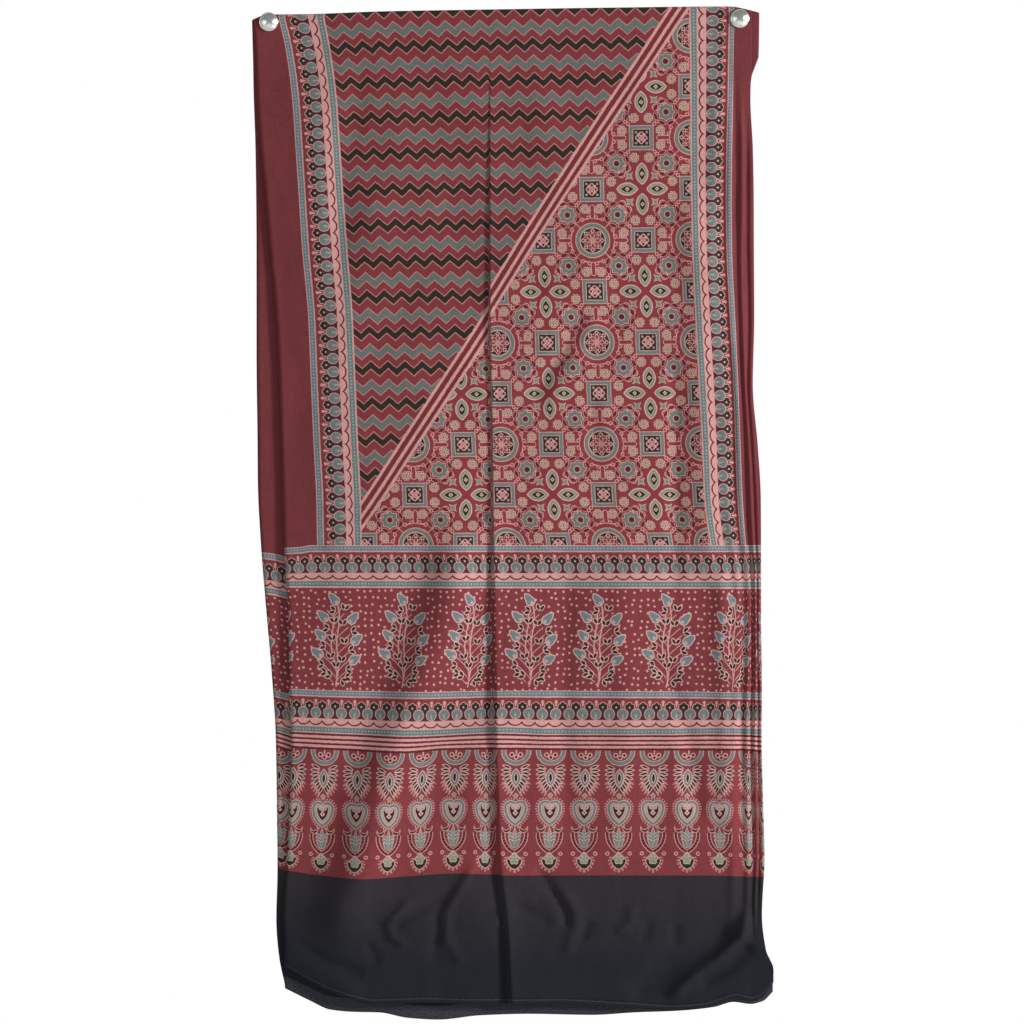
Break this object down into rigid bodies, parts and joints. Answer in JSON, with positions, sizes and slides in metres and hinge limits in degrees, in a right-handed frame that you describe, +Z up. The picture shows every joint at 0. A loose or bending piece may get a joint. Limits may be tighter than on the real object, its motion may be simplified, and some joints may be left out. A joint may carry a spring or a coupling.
{
  "type": "ajrakh cloth with hanging pins",
  "caption": "Block-printed ajrakh stole folded in half over its top edge and hung flat from domed disc-headed pins through its upper corners.",
  "frame": {"origin": "midway between the two pins, on the plane behind the cloth that their shanks pierce", "axes": "+Z up, -Y towards the viewer of the cloth's front face, +X to that viewer's right"},
  "size_m": [0.5654, 0.0312, 1.0994],
  "materials": {
    "printed_cloth": "matte printed plain weave",
    "plated_steel": "bright plated, faintly spun"
  },
  "bodies": {
    "root": {"ajrakh_cloth": "printed_cloth", "hanging_pin_left": "plated_steel", "hanging_pin_right": "plated_steel"}
  },
  "joints": []
}
